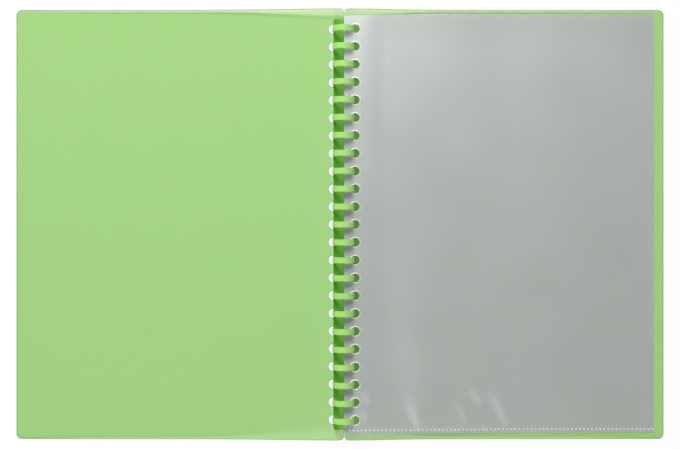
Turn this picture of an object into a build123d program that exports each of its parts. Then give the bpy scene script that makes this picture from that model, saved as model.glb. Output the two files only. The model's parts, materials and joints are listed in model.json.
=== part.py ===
"""Clear pocket display book, lying open with its front cover on the left.

X runs across the spread, Y up the page and Z up from the table. The origin is on the table, under the
middle of the open book. Lengths are in millimetres and angles in degrees.
"""

import os
from math import asin, atan2, ceil, cos, degrees, hypot, radians, sin, sqrt

from build123d import *

# Covers, of polypropylene sheet
cover_height = 309
front_cover_width = 236
back_cover_width = 230
cover_thickness = 0.7
cover_outer_corner = 4
cover_spine_corner = 3
cover_meeting = 0.5  # the covers' spine edges meet this far to the right of the rings' middle
back_cover_pull = 1.05  # the back cover lies drawn out along the fingers

# Comb binding, of thin plastic sheet curled into rings
ring_spacing = 12.7
ring_outer_radius = 8
comb_thickness = 0.8
spine_arc = 80  # width of the spine strip, as an angle round the ring
spine_end = 8  # strip beyond the centres of the first and last fingers
finger_width = 4.2
finger_tuck_start = -35  # where a finger leaves the ring and starts to curl in
finger_tuck_gap = 0.2  # between a finger and the strip's inner face
finger_tip_overlap = 30  # how far a finger reaches round behind the strip
finger_tip_chamfer = 1.2
finger_facet = 18  # the curl of the fingers is made of flats of about this angle

# Punched holes, each round hole cut with a few flats, as the book has 276 of them
hole_diameter = 6.5
hole_sides = 8
hole_end_margin = 8  # at least this from a sheet's end to the first hole's centre

# Clear film pockets, top one first
pocket_count = 10
pocket_width = 223
pocket_height = 300
pocket_raise = 0.85  # the pockets sit a little high on the cover
pocket_hole_margin = 8
film_thickness = 0.08
pocket_gap = 0.1  # room for a sheet of paper between the films
pocket_spacing = 0.1  # air from one pocket to the next
weld_width = 0.6
hole_to_weld = 0.2  # from the holes to the weld along the margin
bottom_weld_inset = 2.4  # from the bottom edge to the middle of the weld
fold_width = 0.3  # the films join along the fore edge
sheet_raise = 0.85  # covers and pockets turn about a line this far above the middle of the rings

# Clearances
cover_edge_gap = 0.5  # between the covers' spine edges
finger_side_clearance = 0.2  # a pocket's hole beside the corners of a finger
pocket_sweep_clearance = 0.25  # a turning pocket's spine edge over the covers
spine_clearance = 0.3  # the strip's edges under the covers

# As many rings as the shorter sheets take
ring_count = int((min(cover_height, pocket_height) - 2 * hole_end_margin) / ring_spacing) + 1

# Radii of the ring, and the stack of pockets about the line that the sheets turn on
ring_inner_radius = ring_outer_radius - comb_thickness
ring_radius = ring_outer_radius - comb_thickness / 2
hole_radius = hole_diameter / 2

pocket_thickness = 2 * film_thickness + pocket_gap
pocket_pitch = pocket_thickness + pocket_spacing
stack_top = (pocket_count * pocket_pitch - pocket_spacing) / 2

# The pockets are drawn out until, upright, their holes almost meet the corners of the fingers
finger_offset = sqrt(hole_radius**2 - (finger_width / 2 + finger_side_clearance) ** 2)
pocket_hole_reach = sqrt(ring_inner_radius**2 - stack_top**2) - sheet_raise + finger_offset
pocket_inner_edge = pocket_hole_reach - pocket_hole_margin
pocket_fore_edge = pocket_inner_edge + pocket_width
pocket_bottom_edge = pocket_raise - pocket_height / 2
margin_weld = pocket_hole_reach + hole_radius + hole_to_weld

# The covers lie just outside the circle that the pockets' spine edges sweep
cover_top = -hypot(pocket_inner_edge, stack_top) - pocket_sweep_clearance
cover_bottom = cover_top - cover_thickness
finger_reach = sqrt(ring_radius**2 - (cover_bottom + cover_thickness / 2 + sheet_raise) ** 2)
front_inner_edge = cover_edge_gap / 2 - cover_meeting
back_inner_edge = cover_edge_gap / 2 + cover_meeting
front_reach = front_inner_edge + front_cover_width
back_reach = back_inner_edge + back_cover_width
sheet_axis_z = ring_outer_radius + sheet_raise


def resting_tilt(reach):
    """The slope, in radians, of a cover whose outer edge lies on the table while the comb holds up its spine."""
    return asin(sheet_axis_z / hypot(reach, cover_bottom)) - atan2(-cover_bottom, reach)


back_tilt = resting_tilt(back_reach)
front_tilt = resting_tilt(front_reach)
back_extent = back_reach * cos(back_tilt) + cover_top * sin(back_tilt)
front_extent = front_reach * cos(front_tilt) + cover_top * sin(front_tilt)
axis_x = (front_extent - back_extent) / 2

# Sheet planes run from the sheets' turning line outwards and down to the table, with heights along the normal
back_plane = Plane(
    origin=(axis_x, 0, sheet_axis_z),
    x_dir=(cos(back_tilt), 0, -sin(back_tilt)),
    z_dir=(sin(back_tilt), 0, cos(back_tilt)),
)
front_plane = Plane(
    origin=(axis_x, 0, sheet_axis_z),
    x_dir=(-cos(front_tilt), 0, -sin(front_tilt)),
    z_dir=(-sin(front_tilt), 0, cos(front_tilt)),
)


def save(piece, name):
    """Label a finished piece and write it under its name."""
    piece.label = name
    export_step(piece, f"parts/{name}.step")


def punch(reach):
    """Cut the row of binding holes out of the sketch in hand, at a reach from the sheets' turning line."""
    with Locations((reach, 0)):
        with GridLocations(0, ring_spacing, 1, ring_count):
            RegularPolygon(
                hole_radius,
                hole_sides,
                major_radius=False,
                rotation=180 / hole_sides,
                mode=Mode.SUBTRACT,
            )


def build_cover(plane, inner_edge, width, hole_reach):
    """One cover sheet with rounded corners and a row of holes along its spine edge."""
    with BuildPart() as cover:
        with BuildSketch(plane.offset(cover_bottom)) as outline:
            with Locations((inner_edge + width / 2, 0)):
                Rectangle(width, cover_height)
            fillet(outline.vertices().group_by(Axis.X)[0], cover_spine_corner)
            fillet(outline.vertices().group_by(Axis.X)[-1], cover_outer_corner)
            punch(hole_reach)
        extrude(amount=cover_thickness)
    return cover.part


def build_back_film(plane, height):
    """The lower film of a pocket: the punched margin and, standing up from the film, the weld lines."""
    with BuildPart() as film:
        with BuildSketch(plane.offset(height)):
            with Locations((pocket_inner_edge, pocket_raise)):
                Rectangle(pocket_width, pocket_height, align=(Align.MIN, Align.CENTER))
            punch(pocket_hole_reach)
        extrude(amount=film_thickness)
        with BuildSketch(plane.offset(height + film_thickness)):
            with Locations((margin_weld, pocket_raise)):
                Rectangle(weld_width, pocket_height, align=(Align.MIN, Align.CENTER))
            with Locations((pocket_fore_edge, pocket_bottom_edge + bottom_weld_inset)):
                Rectangle(pocket_fore_edge - margin_weld, weld_width, align=(Align.MAX, Align.CENTER))
            with Locations((pocket_fore_edge, pocket_raise)):
                Rectangle(fold_width, pocket_height, align=(Align.MAX, Align.CENTER))
        extrude(amount=pocket_gap)
    return film.part


def build_front_film(plane, height):
    """The upper film of a pocket, from the margin weld to the fore edge."""
    with BuildPart() as film:
        with BuildSketch(plane.offset(height)):
            with Locations((margin_weld, pocket_raise)):
                front_width = pocket_fore_edge - margin_weld
                Rectangle(front_width, pocket_height, align=(Align.MIN, Align.CENTER))
        extrude(amount=film_thickness)
    return film.part


def curl(centre, radius, start, sweep):
    """Points round an arc of the comb's section, one for each flat of its curl."""
    flats = ceil(abs(sweep) / finger_facet)
    angles = [radians(start + sweep * i / flats) for i in range(flats + 1)]
    return [(centre[0] + radius * cos(a), centre[1] + radius * sin(a)) for a in angles]


def build_comb():
    """The comb: a curved spine strip whose fingers curl over into rings and tuck in behind it."""
    strip_depth = -cover_bottom - sheet_raise + ring_outer_radius * sin(front_tilt) + spine_clearance
    strip_start = 180 + degrees(asin(strip_depth / ring_inner_radius))
    strip_length = (ring_count - 1) * ring_spacing + 2 * spine_end
    ring_sweep = finger_tuck_start - strip_start

    # A finger leaves the ring on a tighter arc that is clear of the strip when it reaches the strip's edge
    tuck_sweep = strip_start + spine_arc - 360 - finger_tuck_start
    tuck_shift = (comb_thickness + finger_tuck_gap) / (1 - cos(radians(tuck_sweep)))
    tuck_angle = radians(finger_tuck_start)
    tuck_centre = (tuck_shift * cos(tuck_angle), tuck_shift * sin(tuck_angle))
    tip_sweep = tuck_sweep - finger_tip_overlap

    def finger_side(radius):
        """One side of a finger's section, from the strip round the ring to the tip."""
        tucked = curl(tuck_centre, radius - tuck_shift, finger_tuck_start, tip_sweep)
        return curl((0, 0), radius, strip_start, ring_sweep) + tucked[1:]

    outer_side = finger_side(ring_outer_radius)
    inner_side = finger_side(ring_inner_radius)
    axis_plane = Plane(origin=(axis_x, 0, ring_outer_radius), x_dir=(1, 0, 0), z_dir=(0, -1, 0))
    first_finger = -(ring_count - 1) / 2 * ring_spacing
    finger_planes = [axis_plane.offset(first_finger + i * ring_spacing) for i in range(ring_count)]

    with BuildPart() as comb:
        with BuildSketch(axis_plane):
            with BuildLine():
                outer = CenterArc((0, 0), ring_outer_radius, strip_start, spine_arc)
                inner = CenterArc((0, 0), ring_inner_radius, strip_start, spine_arc)
                Line(outer @ 0, inner @ 0)
                Line(outer @ 1, inner @ 1)
            make_face()
        extrude(amount=strip_length / 2, both=True)
        with BuildSketch(*finger_planes):
            with BuildLine():
                Polyline(*outer_side, *reversed(inner_side), close=True)
            make_face()
        extrude(amount=finger_width / 2, both=True)
        tip = axis_plane.from_local_coords((Vector(outer_side[-1]) + Vector(inner_side[-1])) / 2)
        tip_corners = comb.edges().filter_by(
            lambda edge: hypot(edge.center().X - tip.X, edge.center().Z - tip.Z) < comb_thickness / 4
        )
        chamfer(tip_corners, finger_tip_chamfer)
    return comb.part


os.makedirs("parts", exist_ok=True)
back_hole_reach = finger_reach + back_cover_pull
save(build_cover(front_plane, front_inner_edge, front_cover_width, finger_reach), "front_cover")
save(build_cover(back_plane, back_inner_edge, back_cover_width, back_hole_reach), "back_cover")
save(build_comb(), "comb_binding")
for number in range(1, pocket_count + 1):
    pocket_height_on_stack = stack_top - pocket_thickness - (number - 1) * pocket_pitch
    save(build_back_film(back_plane, pocket_height_on_stack), f"pocket_{number:02d}_back_film")
    front_film_height = pocket_height_on_stack + film_thickness + pocket_gap
    save(build_front_film(back_plane, front_film_height), f"pocket_{number:02d}_front_film")
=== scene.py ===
# %% [markdown]
# # A clear pocket display book, lying open
# The book has two covers of lime green translucent sheet, a stack of ten clear pockets on the right and a
# curled plastic comb that runs through a row of punched holes in all of them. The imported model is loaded
# first and stays as it is. Each piece made here takes its place from that model, rides on one of its bodies
# and stands for one or two of its nodes.

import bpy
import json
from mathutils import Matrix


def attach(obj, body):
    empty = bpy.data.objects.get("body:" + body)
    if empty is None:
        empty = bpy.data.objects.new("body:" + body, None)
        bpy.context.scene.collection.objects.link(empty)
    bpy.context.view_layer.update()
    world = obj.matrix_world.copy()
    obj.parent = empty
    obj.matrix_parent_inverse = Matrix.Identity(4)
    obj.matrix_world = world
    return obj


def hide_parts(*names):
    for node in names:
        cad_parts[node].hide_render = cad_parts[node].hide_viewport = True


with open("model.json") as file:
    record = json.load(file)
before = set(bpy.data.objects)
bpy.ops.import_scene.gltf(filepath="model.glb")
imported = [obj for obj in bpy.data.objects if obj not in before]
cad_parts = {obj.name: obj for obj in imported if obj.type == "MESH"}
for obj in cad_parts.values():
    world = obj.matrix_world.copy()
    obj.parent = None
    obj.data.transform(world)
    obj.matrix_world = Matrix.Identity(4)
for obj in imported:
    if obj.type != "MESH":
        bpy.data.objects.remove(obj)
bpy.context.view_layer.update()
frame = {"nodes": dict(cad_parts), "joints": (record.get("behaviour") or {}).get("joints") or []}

# %% Tools for meshes and numbers
import json
from math import ceil, cos, exp, hypot, log, pi, radians, sin

import bmesh
import bpy
from mathutils import Vector

MM = 0.001  # the lengths below are in millimetres, and Blender's are in metres
print("Blender", bpy.app.version_string)

# %% [markdown]
# ## Camera
# The photograph looks straight down on the middle of the spread. The covers' edges lift towards the spine
# and look larger there by a little over one part in a hundred, which gives the height of the lens above the
# table.

# %% Camera
lens_height = 840  # above the table
image_width = 680
table_pixels_per_mm = 1.387
sensor_width = 36

camera_data = bpy.data.cameras.new("camera")
camera_data.sensor_width = sensor_width
camera_data.lens = sensor_width * table_pixels_per_mm * lens_height / image_width
camera = bpy.data.objects.new("camera", camera_data)
camera.location = (0, 0, lens_height * MM)
bpy.context.scene.collection.objects.link(camera)
bpy.context.scene.camera = camera
print("camera lens", round(camera_data.lens, 1), "mm")

# %% [markdown]
# ## Where the sheets lie
# Covers and pockets hang on the rings and slope down to the table. A sheet is drawn flat, in distances across
# from the line it turns on, up the page and above that line, and is then laid in place. The slope, the edges
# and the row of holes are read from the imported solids, so they need no fitting by eye.

# %% The sheets' planes
joints = {joint["name"]: Vector(joint["pos_m"]) / MM for joint in frame["joints"]}
sheet_axis = joints["front_cover_fold"]
up_the_page = Vector((0, 1, 0))
ring_spacing = 12.7


class Sheet:
    """The plane of a flat node, with its edges and holes in millimetres from the line it turns on."""

    def __init__(self, node):
        mesh = frame["nodes"][node].data
        normal = max(mesh.polygons, key=lambda face: face.area).normal
        points = [vertex.co / MM - sheet_axis for vertex in mesh.vertices]
        middle = sum(points, Vector()) / len(points)
        self.normal = normal if normal.z > 0 else -normal
        across = up_the_page.cross(self.normal)
        self.across = across if middle.dot(across) > 0 else -across
        reaches = [point.dot(self.across) for point in points]
        heights = [point.dot(self.normal) for point in points]
        self.inner, self.outer = min(reaches), max(reaches)
        self.bottom, self.top = min(heights), max(heights)
        self.foot, self.head = min(point.y for point in points), max(point.y for point in points)
        middle_hole = [point.dot(self.across) for point in points if abs(point.y) < ring_spacing / 2]
        self.hole_reach = (min(middle_hole) + max(middle_hole)) / 2

    def place(self, point):
        """A drawn point, as across, up and above, in the frame's metres."""
        spot = sheet_axis + self.across * point[0] + up_the_page * point[1] + self.normal * point[2]
        return spot * MM


front_sheet = Sheet("front_cover")
back_sheet = Sheet("back_cover")
for name, sheet in (("front cover", front_sheet), ("back cover", back_sheet)):
    print(name, "reaches", round(sheet.outer, 2), "mm, holes at", round(sheet.hole_reach, 2), "mm")

# %% [markdown]
# The solids are flat, but real sheet is limp. It leaves the rings in a straight slope and bends to lie on the
# table well before its outer edge. A softened corner, the logarithm of one plus an exponential, draws that
# bend, and the row of holes stays where the solid has it. The head and the foot curl up a little, which lets
# light in under them.

# %% How the sheets sag
bend_softness = 12
bend_grown = 30  # from the turning line to where the sheet is wholly free of the rings
front_table_reach = 86  # to where the slope meets the table
back_table_reach = 58
curl_height = 0.8
curl_width = 25
curl_fade = 60  # from the outer edge, where the sheet lies flat, to where the curl is whole


def sag(cover, table_reach, across, up):
    """How far the limp sheet lies below the flat one."""
    slope = -cover.across.z / cover.normal.z
    flat = (cover.outer - across) * slope
    corner = bend_softness * log(1 + exp((table_reach - across) / bend_softness))
    limp = cover.outer * slope * corner / table_reach
    grown = min(1.0, max(0.0, (across - cover.hole_reach) / (bend_grown - cover.hole_reach)))
    eased = grown**2 * (3 - 2 * grown)  # from none to all, and level at both ends
    rim = max(0.0, abs(up) - cover.head + curl_width) / curl_width
    curl = curl_height * rim**2 * min(1.0, max(0.0, (cover.outer - across) / curl_fade))
    return (flat - limp - curl) * eased


for name, sheet, reach in (("front", front_sheet, front_table_reach), ("back", back_sheet, back_table_reach)):
    print(name, "cover sags by up to", round(sag(sheet, reach, reach, 0), 2), "mm")

# %% [markdown]
# ## Cutting shapes out of sheet
# Every piece of this book starts as flat plastic that is cut and punched. The cuts are drawn first, as closed
# loops of points in which every round stretch is an arc.

# %% Outlines
corner_steps = 8
hole_steps = 32


def arc(centre, radius, start, end, steps=corner_steps):
    """Points on a round stretch of an outline, by angles in degrees."""
    angles = [radians(start + (end - start) * i / steps) for i in range(steps + 1)]
    return [(centre[0] + radius * cos(a), centre[1] + radius * sin(a)) for a in angles]


def circle(centre, radius, steps=hole_steps):
    """A closed round outline."""
    return arc(centre, radius, 0, 360, steps)[:-1]


def rectangle(inner, outer, foot, head, inner_corner, outer_corner):
    """A closed outline with rounded corners, of one size towards the spine and another away from it."""
    return (
        arc((outer - outer_corner, foot + outer_corner), outer_corner, -90, 0)
        + arc((outer - outer_corner, head - outer_corner), outer_corner, 0, 90)
        + arc((inner + inner_corner, head - inner_corner), inner_corner, 90, 180)
        + arc((inner + inner_corner, foot + inner_corner), inner_corner, 180, 270)
    )


print("a punched hole is drawn with", hole_steps, "points")

# %% [markdown]
# A filled 2D curve then does what the press does. Its loops are the cuts, its extrusion is the thickness and
# its bevel rounds the cut edges. It is turned into a mesh, which is later laid, bent or curled.

# %% Plates
edge_round_steps = 2
same_point = 1e-4  # points nearer than this are made one


def plate(loops, bottom, top, edge_round=0.0):
    """A flat plate between two heights, cut to closed loops of points, as a bmesh."""
    curve = bpy.data.curves.new("cut", "CURVE")
    curve.dimensions = "2D"
    curve.fill_mode = "BOTH" if top > bottom else "FRONT"
    curve.extrude = (top - bottom) / 2 - edge_round
    curve.bevel_depth = edge_round
    curve.bevel_resolution = edge_round_steps
    curve.offset = -edge_round
    for loop in loops:
        spline = curve.splines.new("POLY")
        spline.points.add(len(loop) - 1)
        spline.use_cyclic_u = True
        for point, (x, y) in zip(spline.points, loop):
            point.co = (x, y, 0, 1)
    cut = bpy.data.objects.new("cut", curve)
    mesh = bpy.data.meshes.new_from_object(cut)
    shape = bmesh.new()
    shape.from_mesh(mesh)
    bmesh.ops.remove_doubles(shape, verts=shape.verts, dist=same_point)
    bmesh.ops.translate(shape, verts=shape.verts, vec=(0, 0, (top + bottom) / 2))
    bpy.data.objects.remove(cut)
    bpy.data.curves.remove(curve)
    bpy.data.meshes.remove(mesh)
    return shape


# %% [markdown]
# A mesh bends only where it has edges, so a plate is scored along lines, as card is before it is folded. A
# filled curve consists of long thin triangles, which many lines would cut into slivers, so on the covers and
# the film they are merged into whole faces first.

# %% Scoring
same_line = 1e-5  # points nearer than this to a cut lie on it
beside = 1e-3  # a line this far from another is just clear of it
flat_enough = 0.99  # the upward part of a broad face's normal, and an edge's is less


def is_broad(face):
    """Whether a face lies flat, as the two sides of a plate do and its edges don't."""
    return abs(face.normal.z) > flat_enough


def cut_across(shape, axis, place):
    """Cut the faces of a shape along the line at one place on an axis."""
    direction = Vector([1.0 if i == axis else 0.0 for i in range(3)])
    line = direction * place
    everything = shape.verts[:] + shape.edges[:] + shape.faces[:]
    bmesh.ops.bisect_plane(shape, geom=everything, dist=same_line, plane_co=line, plane_no=direction)


def score(shape, axis, start, end, step):
    """Cut a shape along evenly spaced lines between two places, so that it can bend there."""
    count = ceil((end - start) / step)
    for i in range(1, count):
        cut_across(shape, axis, start + (end - start) * i / count)


def clear(shape, start, end):
    """Merge a curve's filling between two lines into whole faces, so that later cuts leave clean squares."""
    for line in (start, end):
        cut_across(shape, 0, line)
    shape.normal_update()
    filling = []
    for edge in shape.edges:
        inside = len(edge.link_faces) == 2 and all(is_broad(face) for face in edge.link_faces)
        middle = (edge.verts[0].co.x + edge.verts[1].co.x) / 2
        if inside and start + beside < middle < end - beside:
            filling.append(edge)
    bmesh.ops.dissolve_edges(shape, edges=filling)


# %% [markdown]
# A finished shape becomes an object here. Its points are laid in the frame, its faces are turned outwards,
# and a Weighted Normal modifier keeps flat faces flat to the eye right up to their rounded edges.

# %% From a shape to a piece
def finish_piece(name, shape, lay, body, nodes, materials):
    """Lay a shape in place as an object that rides on a body and stands for CAD nodes."""
    for vertex in shape.verts:
        vertex.co = lay(vertex.co)
    bmesh.ops.recalc_face_normals(shape, faces=shape.faces)
    for face in shape.faces:
        face.smooth = True
    mesh = bpy.data.meshes.new(name)
    shape.to_mesh(mesh)
    for material in materials:
        mesh.materials.append(material)
    piece = bpy.data.objects.new(name, mesh)
    bpy.context.scene.collection.objects.link(piece)
    piece.modifiers.new("flat faces", "WEIGHTED_NORMAL").keep_sharp = True
    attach(piece, body)
    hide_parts(*nodes)
    print(name, len(mesh.vertices), "points,", len(mesh.polygons), "faces")
    return piece


# %% [markdown]
# ## Colours and shader nodes
# Colours are written as the hex values that a screen shows. Shaders work in linear light, so one function
# turns them over. A second small function adds a node, sets its sockets and draws its links.

# %% Colour and node helpers
def linear(code):
    """A hex colour as linear red, green, blue and a full alpha."""
    parts = [int(code[i : i + 2], 16) / 255 for i in (1, 3, 5)]
    return [c / 12.92 if c <= 0.04045 else ((c + 0.055) / 1.055) ** 2.4 for c in parts] + [1.0]


def add_node(tree, kind, settings=None, **sockets):
    """Add a shader node. A socket, by its name or as _ and its number, takes a value or a link."""
    node = tree.nodes.new(kind)
    for name, value in (settings or {}).items():
        setattr(node, name, value)
    for name, value in sockets.items():
        socket = node.inputs[int(name[1:])] if name[1:].isdigit() else node.inputs[name.replace("_", " ")]
        if isinstance(value, bpy.types.NodeSocket):
            tree.links.new(value, socket)
        else:
            socket.default_value = value
    return node


def new_tree(name):
    """A new material and its empty node tree."""
    material = bpy.data.materials.new(name)
    material.use_nodes = True
    material.node_tree.nodes.clear()
    return material, material.node_tree


def per_size(size):
    """The scale of a texture whose marks are this many millimetres apart."""
    return 1 / (size * MM)


print("the screen's middle grey is", round(linear("#808080")[0], 3), "in linear light")

# %% [markdown]
# ## Cover sheet
# The covers are polypropylene, coloured in the mass and rolled between fine-grained rollers. The sheet is a
# green filter: what lies under it shows through, deeper green where light has gone through it twice. So it is
# a tinted Transparent shader, with a share of Principled for the pigment that throws light back and for the
# satin surface. A volume would do the same at many times the cost. Along the head a narrow band is mixed with
# a pale diffuse shader: painted light, for the light that gets in under the lifted head. A number on each
# point of the mesh says where.

# %% Polypropylene sheet
polypropylene_ior = 1.49
grain_size = 0.9  # the rollers' grain is near 0.3 mm, and is drawn coarser so that it shows
relief_depth = 0.02
pigment_streak = 45
sheet_pigment_share = 0.09  # for each of the two faces
head_light_share = 0.3  # of the sheet's light, in the middle of the pale band of painted light along the head


def polypropylene_sheet():
    """Lime polypropylene sheet with a satin grain, pressed by rollers."""
    material, tree = new_tree("polypropylene_sheet_lime")
    where = add_node(tree, "ShaderNodeTexCoord").outputs["Object"]
    grain = add_node(tree, "ShaderNodeTexNoise", Vector=where, Scale=per_size(grain_size), Detail=2.0)
    streaks = add_node(tree, "ShaderNodeTexNoise", Vector=where, Scale=per_size(pigment_streak), Detail=3.0)
    satin = add_node(tree, "ShaderNodeMapRange", Value=grain.outputs["Fac"], To_Min=0.36, To_Max=0.56)
    pigment = add_node(
        tree,
        "ShaderNodeMix",
        {"data_type": "RGBA"},
        Factor=streaks.outputs["Fac"],
        _6=linear("#63D24A"),
        _7=linear("#6FDA55"),
    )
    relief = add_node(
        tree, "ShaderNodeBump", Height=grain.outputs["Fac"], Strength=0.25, Distance=relief_depth * MM
    )
    surface = add_node(
        tree,
        "ShaderNodeBsdfPrincipled",
        Base_Color=pigment.outputs[2],
        Roughness=satin.outputs["Result"],
        Normal=relief.outputs["Normal"],
        IOR=polypropylene_ior,
    )
    tint = add_node(tree, "ShaderNodeBsdfTransparent", Color=linear("#EAF4DD"))
    sheet = add_node(
        tree, "ShaderNodeMixShader", _0=sheet_pigment_share, _1=tint.outputs[0], _2=surface.outputs[0]
    )
    # a pale diffuse share along the head is painted light
    painted_head_light = add_node(tree, "ShaderNodeAttribute", {"attribute_name": "painted_light"}).outputs["Fac"]
    amount = add_node(tree, "ShaderNodeMapRange", Value=painted_head_light, To_Max=head_light_share)
    haze = add_node(tree, "ShaderNodeBsdfDiffuse", Color=linear("#EEF4E8"))
    edged = add_node(
        tree, "ShaderNodeMixShader", _0=amount.outputs["Result"], _1=sheet.outputs[0], _2=haze.outputs[0]
    )
    add_node(tree, "ShaderNodeOutputMaterial", Surface=edged.outputs[0])
    return material


cover_sheet = polypropylene_sheet()
print("made", cover_sheet.name)

# %% [markdown]
# A knife-cut edge lets less light through than the faces do, because light that enters it is trapped in the
# sheet. It draws a thin dull line round each cover and each hole.

# %% Cut edge of the sheet
cut_mark_size = 0.7


def cut_edge():
    """The dull edge that a knife leaves on polypropylene sheet."""
    material, tree = new_tree("polypropylene_cut_edge")
    where = add_node(tree, "ShaderNodeTexCoord").outputs["Object"]
    marks = add_node(tree, "ShaderNodeTexNoise", Vector=where, Scale=per_size(cut_mark_size), Detail=1.0)
    dull = add_node(tree, "ShaderNodeMapRange", Value=marks.outputs["Fac"], To_Min=0.45, To_Max=0.7)
    surface = add_node(
        tree,
        "ShaderNodeBsdfPrincipled",
        Base_Color=linear("#87A573"),
        Roughness=dull.outputs["Result"],
        IOR=polypropylene_ior,
        Alpha=0.8,
    )
    add_node(tree, "ShaderNodeOutputMaterial", Surface=surface.outputs[0])
    return material


cover_edge = cut_edge()
print("made", cover_edge.name)

# %% [markdown]
# ## Covers
# Each cover is die-cut: rounded corners, a little smaller at the spine, and a row of 23 round holes. The
# knife leaves the edge rounded, and a band of painted light makes the head pale. The flat plate is scored, so
# that it can follow the sag, and its cut edges are told from its broad faces by the way that they look.

# %% Rows of holes
ring_count = 23
hole_radius = 3.25
ring_rows = [(i - (ring_count - 1) / 2) * ring_spacing for i in range(ring_count)]


def punched_holes(reach):
    """The row of binding holes at a distance from the line that the sheets turn on."""
    return [circle((reach, row), hole_radius) for row in ring_rows]


print(ring_count, "holes from", ring_rows[0], "to", ring_rows[-1], "mm up the page")

# %% Front and back cover
cover_spine_corner = 3
cover_outer_corner = 4
cover_edge_round = 0.33
cover_step = 8
curl_step = 5
past_edge = 1  # a line this far past a hole or an edge meets nothing of it
head_light_band = 1.2  # half the width of the pale band of painted light along the head
head_light_band_rows = 3
cover_materials = [cover_sheet, cover_edge]
broad_face, cut_face = 0, 1  # where their materials stand in that list


def make_cover(name, sheet, table_reach):
    """One die-cut cover sheet."""
    outline = rectangle(
        sheet.inner, sheet.outer, sheet.foot, sheet.head, cover_spine_corner, cover_outer_corner
    )
    shape = plate([outline, *punched_holes(sheet.hole_reach)], sheet.bottom, sheet.top, cover_edge_round)
    clear(shape, sheet.hole_reach + hole_radius + past_edge, sheet.outer + past_edge)
    score(shape, 0, sheet.hole_reach + hole_radius, sheet.outer, cover_step)
    score(shape, 1, sheet.head - curl_width - curl_step, sheet.head, curl_step)
    score(shape, 1, sheet.foot, sheet.foot + curl_width + curl_step, curl_step)
    score(shape, 1, sheet.head - head_light_band_rows * head_light_band, sheet.head, head_light_band)
    shape.normal_update()
    for face in shape.faces:
        face.material_index = broad_face if is_broad(face) else cut_face
    # painted light along the head, strongest one band's width in from the edge
    painted_head_light = shape.verts.layers.float.new("painted_light")
    for vertex in shape.verts:
        vertex[painted_head_light] = max(0.0, 1 - abs(sheet.head - vertex.co.y - head_light_band) / head_light_band)

    def lay(point):
        """A point of the flat cover, let down on the table."""
        return sheet.place((point.x, point.y, point.z - sag(sheet, table_reach, point.x, point.y)))

    finish_piece(name + "_sheet", shape, lay, name, [name], cover_materials)


make_cover("front_cover", front_sheet, front_table_reach)
make_cover("back_cover", back_sheet, back_table_reach)

# %% [markdown]
# ## Comb plastic
# The comb is rigid PVC sheet, calendered smooth and glossy and pigmented almost to opacity. It is stamped
# flat and curled hot, which leaves faint draw lines along the fingers. A little light passes through it, in a
# purer green, so a share of Translucent is mixed in.

# %% Rigid PVC
draw_line_size = 0.8
comb_mottle = 6
comb_glow_share = 0.15  # of the light, which comes through the sheet


def rigid_pvc():
    """Glossy lime PVC with faint draw lines."""
    material, tree = new_tree("rigid_pvc_lime")
    where = add_node(tree, "ShaderNodeTexCoord").outputs["Object"]
    lines = add_node(tree, "ShaderNodeTexNoise", Vector=where, Scale=per_size(draw_line_size), Detail=2.0)
    mottle = add_node(tree, "ShaderNodeTexNoise", Vector=where, Scale=per_size(comb_mottle), Detail=2.0)
    gloss = add_node(tree, "ShaderNodeMapRange", Value=lines.outputs["Fac"], To_Min=0.22, To_Max=0.36)
    pigment = add_node(
        tree,
        "ShaderNodeMix",
        {"data_type": "RGBA"},
        Factor=mottle.outputs["Fac"],
        _6=linear("#B1E77D"),
        _7=linear("#BAEF87"),
    )
    relief = add_node(
        tree, "ShaderNodeBump", Height=lines.outputs["Fac"], Strength=0.15, Distance=relief_depth * MM
    )
    surface = add_node(
        tree,
        "ShaderNodeBsdfPrincipled",
        Base_Color=pigment.outputs[2],
        Roughness=gloss.outputs["Result"],
        Normal=relief.outputs["Normal"],
        IOR=1.53,
    )
    glow = add_node(tree, "ShaderNodeBsdfTranslucent", Color=linear("#7FE02C"))
    both = add_node(
        tree, "ShaderNodeMixShader", _0=comb_glow_share, _1=surface.outputs[0], _2=glow.outputs[0]
    )
    add_node(tree, "ShaderNodeOutputMaterial", Surface=both.outputs[0])
    return material


comb_plastic = rigid_pvc()
print("made", comb_plastic.name)

# %% [markdown]
# ## Comb binding
# The comb is made here as it is in a factory: a flat comb is cut out, fingers and all, and is then curled.
# The spine strip and the fingers follow one circle. Past the right-hand side a finger leaves that circle on a
# tighter one, so that its tip slips in behind the strip.

# %% Sizes of the comb
ring_axis = joints["comb_roll"]
ring_outer_radius = 7.9  # as far as the flats of the solid comb
comb_thickness = 0.8
ring_radius = ring_outer_radius - comb_thickness / 2  # to the middle of the sheet
strip_start = 199.55  # degrees round the ring, where the fingers leave the strip
spine_arc = 80
finger_width = 4.2
finger_tuck_start = -35
finger_tuck_gap = 0.2
finger_tip_overlap = 30

tuck_sweep = strip_start + spine_arc - 360 - finger_tuck_start
tuck_shift = (comb_thickness + finger_tuck_gap) / (1 - cos(radians(tuck_sweep)))
tuck_centre = Vector((cos(radians(finger_tuck_start)), 0, sin(radians(finger_tuck_start)))) * tuck_shift
strip_width = radians(spine_arc) * ring_radius
tuck_from = strip_width + radians(strip_start - finger_tuck_start) * ring_radius
finger_tip = tuck_from + radians(finger_tip_overlap - tuck_sweep) * (ring_radius - tuck_shift)
print("flat comb: strip", round(strip_width, 1), "mm wide, fingers out to", round(finger_tip, 1), "mm")

# %% The flat comb
finger_tip_round = 1.6
finger_root_round = 1.2
spine_end = 8
spine_end_round = 3
comb_edge_round = 0.22
comb_row = 0.9


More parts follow.
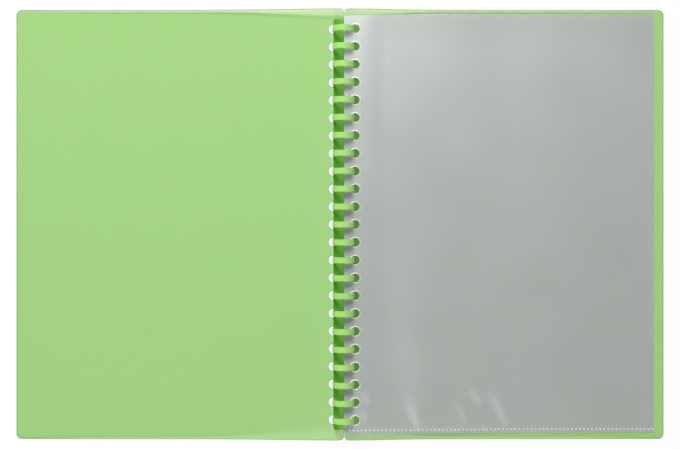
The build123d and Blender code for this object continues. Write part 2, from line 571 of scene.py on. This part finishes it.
def comb_outline():
    """The flat comb's outline: the strip from 0 to its width, then the fingers out to their tips."""
    end = ring_rows[-1] + spine_end - spine_end_round
    near, far = spine_end_round, strip_width - spine_end_round
    root, tip = strip_width + finger_root_round, finger_tip - finger_tip_round
    outline = arc((near, -end), spine_end_round, 180, 270)
    outline += arc((far, -end), spine_end_round, 270, 360)
    for row in ring_rows:
        low, high = row - finger_width / 2, row + finger_width / 2
        outline += arc((root, low - finger_root_round), finger_root_round, 180, 90)
        outline += arc((tip, low + finger_tip_round), finger_tip_round, -90, 0)
        outline += arc((tip, high - finger_tip_round), finger_tip_round, 0, 90)
        outline += arc((root, high + finger_root_round), finger_root_round, 270, 180)
    outline += arc((far, end), spine_end_round, 0, 90)
    outline += arc((near, end), spine_end_round, 90, 180)
    return outline


flat_comb = plate([comb_outline()], -comb_thickness / 2, comb_thickness / 2, comb_edge_round)
score(flat_comb, 0, 0, finger_tip, comb_row)
print("flat comb", len(flat_comb.faces), "faces")

# %% Curl the comb
def curl(point):
    """A point of the flat comb, rolled up round the ring axis."""
    along, row, above = point
    if along < tuck_from:
        angle = radians(strip_start + spine_arc) - along / ring_radius
        centre, radius = Vector(), ring_radius
    else:
        angle = radians(finger_tuck_start) - (along - tuck_from) / (ring_radius - tuck_shift)
        centre, radius = tuck_centre, ring_radius - tuck_shift
    spot = centre + Vector((cos(angle), 0, sin(angle))) * (radius + above)
    return (ring_axis + spot + up_the_page * row) * MM


finish_piece("comb", flat_comb, curl, "comb_binding", ["comb_binding"], [comb_plastic])

# %% [markdown]
# ## Pocket film
# A pocket is cast polypropylene film, less than a tenth of a millimetre thick. Clear film has no colour of
# its own. Its two faces throw back about a tenth of the light between them, like a weak mirror, and let the
# rest through. So one pocket looks clear, and a stack of twenty films looks like dull silver. Principled says
# that with a reflection that is about half a metal's, at a low alpha. The film is drawn as one surface that
# stands for both its faces, because a ray through the stack would otherwise cross forty of them. Along the
# fore edge the film rounds over into its fold and sends its reflection aside. There, and in a narrow band
# beside the fold, it is drawn clearer still, so that the shaded cover shows through as a dark line of painted
# shade. Along the creases its mirror-like part is taken out, so that it scatters light there instead of
# mirroring it: a painted highlight for the light that the creases catch.

# %% Cast film
film_share = 0.1  # of the light, which one film throws back
fold_share = 0.03  # the same on and beside the fold, where the shaded cover shows through as a dark line of painted shade
film_mirror = 0.55  # the metal-like part of that, where the film isn't creased
film_haze_size = 40
film_line_size = 3.0  # across the roll, and coarser than real draw lines so that they show
film_line_stretch = 10  # how many times as long as wide the draw lines are


def cast_film(name, share):
    """Clear cast polypropylene film, with the faint lines of its roll."""
    material, tree = new_tree(name)
    where = add_node(tree, "ShaderNodeTexCoord").outputs["Object"]
    drawn_out = add_node(tree, "ShaderNodeMapping", Vector=where, Scale=(1.0, 1 / film_line_stretch, 1.0))
    haze = add_node(tree, "ShaderNodeTexNoise", Vector=where, Scale=per_size(film_haze_size), Detail=0.0)
    lines = add_node(
        tree, "ShaderNodeTexNoise", Vector=drawn_out.outputs[0], Scale=per_size(film_line_size), Detail=0.0
    )
    gloss = add_node(tree, "ShaderNodeMapRange", Value=haze.outputs["Fac"], To_Min=0.33, To_Max=0.41)
    relief = add_node(
        tree, "ShaderNodeBump", Height=lines.outputs["Fac"], Strength=0.2, Distance=relief_depth * MM
    )
    # the painted highlight along the creases takes out the film's mirror-like part
    crease_highlight = add_node(tree, "ShaderNodeAttribute", {"attribute_name": "painted_light"}).outputs["Fac"]
    mirror = add_node(tree, "ShaderNodeMapRange", Value=crease_highlight, To_Min=film_mirror, To_Max=0.0)
    surface = add_node(
        tree,
        "ShaderNodeBsdfPrincipled",
        Base_Color=linear("#D2D3D6"),
        Metallic=mirror.outputs["Result"],
        Roughness=gloss.outputs["Result"],
        Normal=relief.outputs["Normal"],
        Alpha=share,
    )
    add_node(tree, "ShaderNodeOutputMaterial", Surface=surface.outputs[0])
    return material


pocket_film = cast_film("cast_polypropylene_film", film_share)
folded_film = cast_film("folded_polypropylene_film", fold_share)
print("made", pocket_film.name, "and", folded_film.name)

# %% [markdown]
# Where a hot tool has crushed the film, in the dots of the foot seal, it turns milky. The holes get a rim of
# the same milky film, partly the punch's crushed edge and partly a painted highlight where light catches the
# stacked hole walls. It is the same plastic with a dull surface that hides more than half of what lies under
# it.

# %% Crushed film
frost_size = 0.6


def milky_film_and_rim_highlight():
    """Milky polypropylene film, crushed by a hot tool, which also draws a painted highlight round the holes.
    """
    material, tree = new_tree("crushed_film_and_painted_rim_highlight")
    where = add_node(tree, "ShaderNodeTexCoord").outputs["Object"]
    frost = add_node(tree, "ShaderNodeTexNoise", Vector=where, Scale=per_size(frost_size), Detail=1.0)
    dull = add_node(tree, "ShaderNodeMapRange", Value=frost.outputs["Fac"], To_Min=0.4, To_Max=0.7)
    surface = add_node(
        tree,
        "ShaderNodeBsdfPrincipled",
        Base_Color=linear("#F2F4F0"),
        Roughness=dull.outputs["Result"],
        IOR=polypropylene_ior,
        Alpha=0.6,
    )
    add_node(tree, "ShaderNodeOutputMaterial", Surface=surface.outputs[0])
    return material


crushed_film_and_rim_highlight = milky_film_and_rim_highlight()
print("made", crushed_film_and_rim_highlight.name)

# %% [markdown]
# ## Pockets
# One film makes a pocket. It is folded over at the fore edge, and both leaves are punched along the spine.
# They are welded together along the margin and, by a dotted seal, along the foot, and the head is open. So
# the film is drawn flat, with two rows of holes, and then folded, as the comb is cut flat and then curled.

# %% Sizes of a pocket
pocket_count = 10
film_thickness = 0.08
film_gap = 0.1
hole_to_weld = 0.2

pocket_sheet = Sheet("pocket_01_back_film")
foot, head = pocket_sheet.foot, pocket_sheet.head
pocket_thickness = 2 * film_thickness + film_gap
weld_from = pocket_sheet.hole_reach + hole_radius + hole_to_weld
fold_radius = (film_thickness + film_gap) / 2
fold_from = pocket_sheet.outer - fold_radius
fold_to = fold_from + pi * fold_radius


def folded_over(across):
    """Where a distance across the front leaf lies on the flat film."""
    return fold_to + fold_from - across


film_end = folded_over(pocket_sheet.inner)
print("flat film", round(film_end - pocket_sheet.inner, 1), "by", round(head - foot, 1), "mm")

# %% One film, cut flat
film_step = 10
crease_step = 2
crease_end = 122  # the creased corner of the page reaches this far across
crease_head = -108  # and this far up
fold_steps = 4
fold_line = 0.9  # the width of the rounded stretch beside the fold

flat_film = [(pocket_sheet.inner, foot), (film_end, foot), (film_end, head), (pocket_sheet.inner, head)]
holes = punched_holes(pocket_sheet.hole_reach) + punched_holes(folded_over(pocket_sheet.hole_reach))
film = plate([flat_film, *holes], 0, 0)
clear(film, weld_from, folded_over(weld_from))
score(film, 0, weld_from, crease_end, crease_step)
score(film, 0, crease_end - film_step, fold_from + film_step, film_step)
score(film, 0, fold_from - 2 * fold_line, fold_from, fold_line)
score(film, 0, fold_from - beside, fold_to + beside, (fold_to - fold_from) / fold_steps)
score(film, 0, fold_to, fold_to + 2 * fold_line, fold_line)
score(film, 0, fold_to - film_step, folded_over(crease_end - film_step), film_step)
score(film, 0, folded_over(crease_end), folded_over(weld_from), crease_step)
score(film, 1, foot, crease_head, crease_step)
score(film, 1, crease_head - film_step, head, film_step)
print("flat film", len(film.faces), "faces")

# %% [markdown]
# The fold is a narrow half circle. Points before it stay on the back leaf, points past it go over to the
# front leaf, and the faces on and beside it get the clearer film, which paints a dark line of shade along the
# fore edge.

# %% Fold the film over
pocket_materials = [pocket_film, crushed_film_and_rim_highlight, folded_film]
film_face, crushed_and_highlight_face, folded_face = 0, 1, 2  # where their materials stand in that list


def fold(point):
    """A point of the flat film, folded over, with its height above the pocket's lowest face."""
    middle = film_thickness / 2
    if point.x < fold_from:
        return Vector((point.x, point.y, middle))
    if point.x > fold_to:
        return Vector((folded_over(point.x), point.y, middle + 2 * fold_radius))
    turn = (point.x - fold_from) / fold_radius
    rise = fold_radius * (1 - cos(turn))
    return Vector((fold_from + fold_radius * sin(turn), point.y, middle + rise))


for vertex in film.verts:
    vertex.co = fold(vertex.co)
# the clearer film beside the fold paints a dark line of shade along the fore edge
for face in film.faces:
    by_the_fold = face.calc_center_median().x > fold_from - fold_line
    face.material_index = folded_face if by_the_fold else film_face
print("folded at", round(fold_from, 2), "mm")

# %% [markdown]
# The foot seal is a row of small pressed dots, and each hole has a milky rim, widest towards the spine:
# partly the punch's crushed edge, partly a painted highlight where light catches the stacked hole walls. One
# filled curve cuts a whole row of dots or rims, as it takes any number of loops.

# %% Dots and rims
seal_inset = 2.4
seal_start = 4  # from the spine edge to the first dot
seal_dot_spacing = 2.9
seal_dot_length = 1.1
seal_dot_width = 0.55
dot_steps = 4
crushed_rise = 0.02  # crushed film stands this little above the rest
rim_width = 0.48
rim_shift = (-0.28, 0.13)  # the rim's outside against the hole, which makes the painted highlight widest towards the spine
rim_steps = 20


def foot_seal():
    """The row of pressed dots along the foot."""
    first = pocket_sheet.inner + seal_start
    count = int((fold_from - first) / seal_dot_spacing) + 1
    line = foot + seal_inset
    ends = seal_dot_width / 2
    reach = seal_dot_length / 2 - ends
    dots = []
    for i in range(count):
        middle = first + i * seal_dot_spacing
        right = arc((middle + reach, line), ends, -90, 90, dot_steps)
        left = arc((middle - reach, line), ends, 90, 270, dot_steps)
        dots.append(right + left)
    return plate(dots, film_thickness, pocket_thickness + crushed_rise)


def hole_rims():
    """The milky rims of the punched holes, partly crushed edge and partly painted highlight."""
    loops = []
    for row in ring_rows:
        centre = (pocket_sheet.hole_reach + rim_shift[0], row + rim_shift[1])
        loops.append(circle(centre, hole_radius + rim_width, rim_steps))
        loops.append(circle((pocket_sheet.hole_reach, row), hole_radius, rim_steps))
    return plate(loops, -crushed_rise, pocket_thickness + crushed_rise)


seal, rims = foot_seal(), hole_rims()
print("foot seal", len(seal.faces), "faces, hole rims", len(rims.faces), "faces")

# %% [markdown]
# The weld along the margin is a plain line between the two leaves, and so is the cut foot of the film. Both
# have only four corners, so they stay straight when the pocket is laid. The weld still lies between the
# leaves, but in the middle of the page the line along the foot stands about two millimetres above its film
# and passes through the pockets above. Scored as the film is, it would bend with it. The film, these lines,
# the dots and the rims are then joined into the shape of one pocket.

# %% Welds, and the whole pocket
weld_width = 0.6
foot_edge = 0.5


def join(shapes):
    """Several shapes as one."""
    whole = bmesh.new()
    for shape in shapes:
        mesh = bpy.data.meshes.new("part")
        shape.to_mesh(mesh)
        whole.from_mesh(mesh)
        bpy.data.meshes.remove(mesh)
        shape.free()
    return whole


def pressed_line(inner, outer, low, high):
    """A flat, straight line of film, midway between the heights of the two leaves."""
    loop = [(inner, low), (outer, low), (outer, high), (inner, high)]
    return plate([loop], pocket_thickness / 2, pocket_thickness / 2)


crushed_and_rim_highlight = join([seal, rims])
for face in crushed_and_rim_highlight.faces:
    face.material_index = crushed_and_highlight_face
margin_weld = pressed_line(weld_from, weld_from + weld_width, foot, head)
foot_line = pressed_line(pocket_sheet.inner, fold_from, foot, foot + foot_edge)
pocket_shape = join([film, margin_weld, foot_line, crushed_and_rim_highlight])
print("one pocket", len(pocket_shape.faces), "faces")

# %% [markdown]
# A real stack is never quite flat, so all films share a few soft waves and, near the foot, creases that fan
# out of the seal. They move together, so no film cuts through the next. Such low creases hardly show by their
# shape, so each also gets a painted highlight, by a number on each point that the film's shader reads.

# %% Creases
crease_lean = 0.6  # below one, a crease is strongest nearer to its foot end
creases = [
    # foot end and head end, each as across and up the page, then the widths there and the strength of the
    # painted highlight
    ((54.5, -147.0), (44.0, -122.0), 1.6, 5.0, 0.6),
    # a broad soft band up the page, mostly a painted highlight, which also lifts the films a little
    ((50.0, -136.0), (38.0, 20.0), 9.0, 14.0, 0.14),
    ((99.0, -128.0), (89.5, -118.0), 1.8, 2.4, 0.5),
    ((88.0, -144.0), (81.5, -127.0), 1.6, 2.4, 0.35),
    ((118.0, -144.0), (104.0, -118.0), 1.6, 4.0, 0.45),
    ((16.0, -140.0), (12.5, -131.0), 1.8, 1.8, 0.5),
    ((18.0, -128.0), (12.5, -118.0), 1.8, 2.0, 0.5),
]


def crease_at(across, up, crease):
    """How much of a crease there is at a point, from none to one."""
    (foot_x, foot_y), (head_x, head_y), foot_width, head_width, _ = crease
    run_x, run_y = head_x - foot_x, head_y - foot_y
    length = hypot(run_x, run_y)
    along = ((across - foot_x) * run_x + (up - foot_y) * run_y) / length**2
    aside = ((across - foot_x) * run_y - (up - foot_y) * run_x) / length
    if not 0 < along < 1:
        return 0.0
    width = foot_width + (head_width - foot_width) * along
    return sin(pi * along**crease_lean) * exp(-((aside / width) ** 2))


# a painted highlight along each crease
crease_highlight = pocket_shape.verts.layers.float.new("painted_light")
for vertex in pocket_shape.verts:
    across, up, _ = vertex.co
    vertex[crease_highlight] = min(1.0, sum(crease_at(across, up, crease) * crease[-1] for crease in creases))
print(len(creases), "creases near the foot")

# %% Waves
wave_height = 0.08
wave_start = 40  # from the margin weld to where the waves are at their full height
waves = [
    # share of the height, lengths across and up the page in which the wave turns by one radian, and its start
    (1.0, 17, 90, 0.0),
    (0.6, 31, -45, 1.3),
]
crease_height = 0.3


def ripple(across, up):
    """How far the stacked films stand above flat."""
    grown = min(1.0, max(0.0, (across - weld_from) / wave_start))
    swell = sum(share * sin(across / wide + up / tall + start) for share, wide, tall, start in waves)
    ridges = sum(crease_at(across, up, crease) for crease in creases)
    return wave_height * grown * swell + crease_height * ridges


print("the films stand up to", round(max(ripple(v.co.x, v.co.y) for v in pocket_shape.verts), 2), "mm proud")

# %% [markdown]
# At the head, the film is drawn in a little near the spine. The pockets are laid one by one at the heights of
# their solids. Each film dims the lamps a little for all that lies under it. With all ten pockets casting
# shadows the stack renders thirty levels of 255 darker than in the photograph, so only the lowest three do.

# %% Lay the pockets
pocket_table_reach = 110  # the stack bridges the bend of the cover
head_slant = 2.0
slant_width = 65
slant_depth = 7  # above the first hole, which stays with its finger
shading_pockets = 3


def drawn_in(across, up):
    """How far down the page the head is drawn, near the spine."""
    near = max(0.0, 1 - across / slant_width)
    return head_slant * near * max(0.0, 1 - (head - up) / slant_depth)


def make_pocket(name):
    """One pocket, at its height in the stack."""
    height = Sheet(name + "_back_film").bottom

    def lay(point):
        """A point of the pocket, rippled and let down with the stack on the back cover."""
        below = sag(back_sheet, pocket_table_reach, point.x, point.y)
        lifted = point.z + height + ripple(point.x, point.y) - below
        return pocket_sheet.place((point.x, point.y - drawn_in(point.x, point.y), lifted))

    nodes = [name + "_back_film", name + "_front_film"]
    return finish_piece(name, pocket_shape.copy(), lay, name, nodes, pocket_materials)


for number in range(1, pocket_count + 1):
    pocket = make_pocket(f"pocket_{number:02d}")
    pocket.visible_shadow = number > pocket_count - shading_pockets

# %% [markdown]
# ## Table
# The book lies on a white table. To a camera, the table is partly a plain white glow, so that it reads as a
# white background, and partly a lit white surface, so that it keeps the book's shadow. Seen through the
# sheets it glows less. Under the back cover's holes, where light comes only through green sheets, a patch of
# it has no glow and is painted green: painted shade, for the deep shade inside the comb.

# %% White laminate
white_share = 0.9  # of glow, where the table is seen past the book
through_share = 0.1  # where it is seen through a sheet


def white_table(name, open_share, colour):
    """A white laminate table top, with its share of glow where nothing covers it."""
    material, tree = new_tree(name)
    path = add_node(tree, "ShaderNodeLightPath")
    seen = path.outputs["Is Camera Ray"]
    for ray in ("Is Glossy Ray", "Is Transmission Ray"):
        either = add_node(tree, "ShaderNodeMath", {"operation": "MAXIMUM"}, _0=seen, _1=path.outputs[ray])
        seen = either.outputs[0]
    through = add_node(
        tree,
        "ShaderNodeMapRange",
        Value=path.outputs["Transparent Depth"],
        To_Min=open_share,
        To_Max=through_share,
    )
    share = add_node(
        tree, "ShaderNodeMath", {"operation": "MULTIPLY"}, _0=seen, _1=through.outputs["Result"]
    )
    lit = add_node(tree, "ShaderNodeBsdfDiffuse", Color=linear(colour))
    white = add_node(tree, "ShaderNodeEmission", Color=linear("#FFFFFF"), Strength=1.0)
    mixed = add_node(
        tree, "ShaderNodeMixShader", _0=share.outputs[0], _1=lit.outputs[0], _2=white.outputs[0]
    )
    add_node(tree, "ShaderNodeOutputMaterial", Surface=mixed.outputs[0])
    return material


open_table = white_table("white_laminate", white_share, "#FBFBFB")
# the patch under the back cover's holes is painted green, as painted shade
painted_shade_table = white_table("table_painted_green_shade", 0.0, "#A9CF8C")
print("made", open_table.name, "and", painted_shade_table.name)

# %% Table top
table_size = 8000
table_gap = 0.05  # keeps the table's face off the pieces that lie on it
painted_shade_width = 14  # of the patch of painted shade under the back cover's holes
painted_shade_inset = 5.5  # from the cover's head and foot, so that the pockets hide the patch's ends
painted_shade_square = 4  # the middle one of nine, which carries the painted shade

half = table_size / 2
columns = [-half, sheet_axis.x, sheet_axis.x + painted_shade_width, half]
rows = [-half, back_sheet.foot + painted_shade_inset, back_sheet.head - painted_shade_inset, half]
points = [(x * MM, y * MM, -table_gap * MM) for y in rows for x in columns]
squares = []
for row in range(len(rows) - 1):
    for column in range(len(columns) - 1):
        low = row * len(columns) + column
        high = low + len(columns)
        squares.append((low, low + 1, high + 1, high))

table_mesh = bpy.data.meshes.new("table")
table_mesh.from_pydata(points, [], squares)
table_mesh.materials.append(open_table)
table_mesh.materials.append(painted_shade_table)
table_mesh.polygons[painted_shade_square].material_index = 1
table = bpy.data.objects.new("table", table_mesh)
bpy.context.scene.collection.objects.link(table)
print("table", table_size * MM, "m wide")

# %% [markdown]
# ## Light
# Two soft lamps light the book, one high beyond its head and a broader, lower one beyond its foot. A weak
# third one, nearer to the head end of the spine, gives the film the soft highlight at its top left. A pale
# room fills the shade.

# %% Lamps and room
room_light = 0.24
lamps = [
    # name, place and size in metres, watts
    ("head_lamp", (-0.25, 0.9, 1.05), 0.4, 14.2),
    ("foot_lamp", (-0.2, -1.3, 0.8), 0.7, 11.0),
    ("sheen_lamp", (0.0, 0.45, 1.05), 0.3, 0.75),
]

world = bpy.data.worlds.new("pale room")
world.use_nodes = True
background = world.node_tree.nodes["Background"]
background.inputs["Color"].default_value = linear("#FFFFFF")
background.inputs["Strength"].default_value = room_light
bpy.context.scene.world = world

for name, place, size, watts in lamps:
    lamp_data = bpy.data.lights.new(name, "AREA")
    lamp_data.size = size
    lamp_data.energy = watts
    lamp = bpy.data.objects.new(name, lamp_data)
    lamp.location = place
    lamp.rotation_euler = (-Vector(place)).to_track_quat("-Z", "Y").to_euler()
    bpy.context.scene.collection.objects.link(lamp)
    print(name, watts, "W")

# %% [markdown]
# ## View
# Colours are shown as they are written, by the Standard view. A ray may cross every film of the stack and
# both faces of a cover, so the limit on see-through surfaces is raised from Blender's eight.

# %% View and ray limits
see_through_limit = 64

bpy.context.scene.view_settings.view_transform = "Standard"
bpy.context.scene.cycles.transparent_max_bounces = see_through_limit
print("a ray may cross", see_through_limit, "see-through surfaces")
